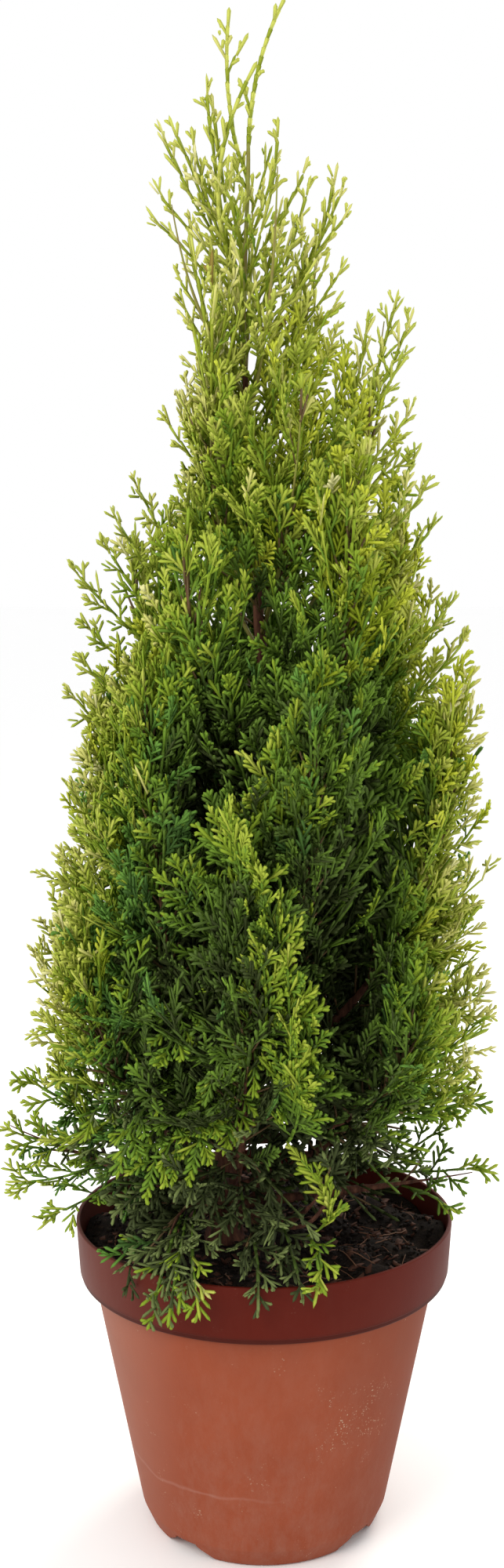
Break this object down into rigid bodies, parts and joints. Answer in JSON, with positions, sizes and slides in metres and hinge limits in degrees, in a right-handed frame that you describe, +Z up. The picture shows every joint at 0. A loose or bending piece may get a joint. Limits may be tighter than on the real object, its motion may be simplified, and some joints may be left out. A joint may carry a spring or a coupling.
{
  "type": "potted thuja",
  "caption": "Young conical evergreen conifer with flat scale-leaf sprays, a forked leader and a leaning trunk, standing in a round tapered plastic nursery pot with a raised collar.",
  "frame": {"origin": "centre of the pot's flat underside, on the pot's axis", "axes": "+Z up along the pot's axis to the plant's tip, -Y the front, +X to the right seen from the front"},
  "size_m": [0.2987, 0.2749, 0.9045],
  "materials": {
    "pot_plastic": "semi-matt terracotta-coloured moulded plastic, with a glossier red-brown collar",
    "soil": "moist dark potting soil with fibres and bits of bark",
    "bark": "thin reddish-brown bark that peels in strips",
    "foliage_dark": "dark to mid green scale-leaf sprays",
    "foliage_green": "fresh yellow-green scale-leaf sprays",
    "foliage_shoots": "pale yellow-green leading shoots"
  },
  "bodies": {
    "root": {"pot": "pot_plastic", "soil": "soil", "trunk": "bark", "bough_low_left": "bark", "bough_low_front_left": "bark", "bough_low_front": "bark", "bough_low_front_right": "bark", "bough_low_right": "bark", "bough_low_back_right": "bark", "bough_low_back_left": "bark", "bough_lower_1": "bark", "bough_lower_2": "bark", "bough_lower_3": "bark", "bough_lower_4": "bark", "bough_lower_5": "bark", "bough_lower_6": "bark", "bough_lower_7": "bark", "bough_middle_1": "bark", "bough_middle_2": "bark", "bough_middle_3": "bark", "bough_middle_4": "bark", "bough_middle_5": "bark", "bough_middle_6": "bark", "low_left": "foliage_dark", "low_front_left": "foliage_dark", "low_front": "foliage_dark", "low_front_right": "foliage_dark", "low_right": "foliage_dark", "low_back_right": "foliage_dark", "low_back_left": "foliage_dark", "lower_1": "foliage_dark", "lower_2": "foliage_dark", "lower_3": "foliage_dark", "lower_4": "foliage_dark", "lower_5": "foliage_dark", "lower_6": "foliage_dark", "lower_7": "foliage_dark", "middle_1": "foliage_dark", "middle_2": "foliage_dark", "middle_3": "foliage_dark", "middle_4": "foliage_dark", "middle_5": "foliage_dark", "middle_6": "foliage_dark", "upper_1": "foliage_green", "upper_2": "foliage_green", "upper_3": "foliage_green", "upper_4": "foliage_green", "upper_5": "foliage_green", "shoulder_1": "foliage_green", "shoulder_2": "foliage_green", "shoulder_3": "foliage_green", "shoulder_4": "foliage_green", "shoulder_5": "foliage_green", "top_1": "foliage_green", "top_2": "foliage_green", "top_3": "foliage_green", "top_4": "foliage_green", "leader_right": "foliage_shoots", "leader_left": "foliage_shoots", "crossing_shoot": "foliage_shoots"}
  },
  "joints": []
}
